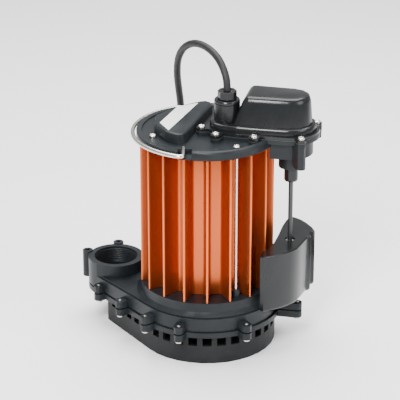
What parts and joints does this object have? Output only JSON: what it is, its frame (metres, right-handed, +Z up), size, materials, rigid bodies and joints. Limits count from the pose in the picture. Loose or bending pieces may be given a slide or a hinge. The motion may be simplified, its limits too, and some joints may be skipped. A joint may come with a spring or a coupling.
{
  "type": "submersible sump pump",
  "caption": "Submersible sump pump with finned motor housing, slotted strainer base, vertical threaded discharge and a float switch on a sliding rod",
  "frame": {"origin": "where the motor's axis meets the floor, in the middle of the strainer's underside", "axes": "+Z up along the motor's axis, -X towards the discharge, +X towards the float, -Y the front"},
  "size_m": [0.2621, 0.3745, 0.3275],
  "materials": {
    "casting": "satin black powder coat over sand-cast metal",
    "housing": "copper-orange metallic coat on extruded aluminium",
    "cover": "semi-gloss moulded black",
    "moulding": "matte moulded black",
    "stainless": "bright stainless",
    "steel": "ground steel",
    "dark_rod": "black coated rod",
    "core": "laminated steel",
    "winding": "varnished copper wire",
    "rubber": "black nitrile rubber",
    "jacket": "black cord jacket",
    "label": "blank white label film",
    "brass": "plated brass"
  },
  "bodies": {
    "pump": {"intake_screen": "casting", "volute_base": "casting", "volute_gasket": "rubber", "volute_casing": "casting", "volute_screw_1": "stainless", "volute_screw_2": "stainless", "volute_screw_3": "stainless", "volute_screw_4": "stainless", "volute_screw_5": "stainless", "volute_screw_6": "stainless", "volute_screw_7": "stainless", "volute_screw_8": "stainless", "screen_screw_1": "stainless", "screen_screw_2": "stainless", "shaft_seal": "rubber", "lower_bearing": "steel", "upper_bearing": "steel", "stator_core": "core", "winding_lower": "winding", "winding_upper": "winding", "motor_housing": "housing", "oring_lower": "rubber", "oring_upper": "rubber", "tie_bolt_1": "stainless", "tie_bolt_2": "stainless", "tie_bolt_3": "stainless", "tie_bolt_4": "stainless", "top_cap": "casting", "rating_label": "label", "switch_gasket": "rubber", "switch_cover": "cover", "rod_guide": "moulding", "switch_module": "moulding", "cover_screw_1": "stainless", "cover_screw_2": "stainless", "cover_screw_3": "stainless", "cover_screw_4": "stainless", "cover_screw_5": "stainless", "cover_screw_6": "stainless", "cover_screw_7": "stainless", "gland_body": "moulding", "gland_nut": "moulding", "gland_grommet": "rubber", "cord_lead": "jacket", "cord_tail": "jacket", "cord_coil": "jacket", "coil_tie": "rubber", "plug_body": "jacket", "plug_blade_left": "brass", "plug_blade_right": "brass", "plug_ground_pin": "brass"},
    "rotor_group": {"motor_shaft": "steel", "rotor": "core", "impeller": "moulding"},
    "float_group": {"float": "cover", "float_rod": "dark_rod", "float_clip_lower": "stainless", "float_clip_upper": "stainless", "magnet_carrier": "moulding"},
    "handle": {"carry_handle": "stainless"}
  },
  "joints": [
    {"name": "motor_turn", "type": "hinge", "parent": "pump", "child": "rotor_group", "pos_m": [0, 0, 0.07], "axis": [0, 0, 1], "continuous": true},
    {"name": "float_slide", "type": "slide", "parent": "pump", "child": "float_group", "axis": [0, 0, 1], "range_m": [0, 0.05]},
    {"name": "handle_fold", "type": "hinge", "parent": "pump", "child": "handle", "pos_m": [-0.025, 0, 0.239], "axis": [0, 1, 0], "range_deg": [0, 90]}
  ]
}
